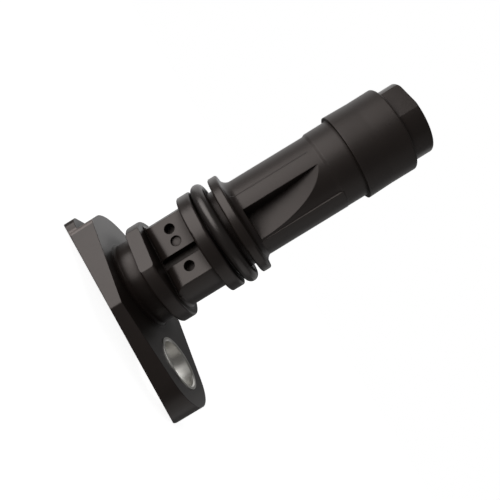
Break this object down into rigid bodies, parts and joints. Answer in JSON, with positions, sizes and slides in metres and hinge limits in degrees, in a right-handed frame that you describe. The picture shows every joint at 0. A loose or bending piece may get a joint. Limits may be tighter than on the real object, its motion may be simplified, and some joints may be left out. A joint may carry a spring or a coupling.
{
  "type": "crankshaft position sensor",
  "caption": "Bolt-on crankshaft position sensor: one-ear flange with a metal bush, a sealed collared neck, a long cored barrel and a stub sensing nose.",
  "frame": {"origin": "centre of the flange's seating face, where the barrel's axis crosses it", "axes": "+Z along the barrel toward the sensing nose, +X from the barrel to the bolt bush, +Y across the flange"},
  "size_m": [0.0304, 0.0206, 0.0474],
  "materials": {
    "body_plastic": "fine moulded satin, glass-filled",
    "nose_plastic": "fine moulded satin",
    "seal_rubber": "smooth moulded rubber with a thin film of grease",
    "bush_steel": "rolled and plated",
    "carrier_plastic": "matte",
    "terminal_brass": "stamped and tinned",
    "chip_epoxy": "matte moulded epoxy",
    "lead_alloy": "tinned",
    "magnet_alloy": "plated, dull",
    "pole_iron": "bare",
    "capacitor_ceramic": "matte with tinned ends"
  },
  "bodies": {
    "root": {"housing": "body_plastic", "nose_cup": "nose_plastic", "o_ring": "seal_rubber", "mounting_bush": "bush_steel", "lead_carrier": "carrier_plastic", "terminal_supply": "terminal_brass", "terminal_ground": "terminal_brass", "terminal_signal": "terminal_brass", "hall_ic": "chip_epoxy", "lead_supply": "lead_alloy", "lead_ground": "lead_alloy", "lead_signal": "lead_alloy", "bias_magnet": "magnet_alloy", "pole_plate": "pole_iron", "capacitor_supply": "capacitor_ceramic", "capacitor_signal": "capacitor_ceramic"}
  },
  "joints": []
}
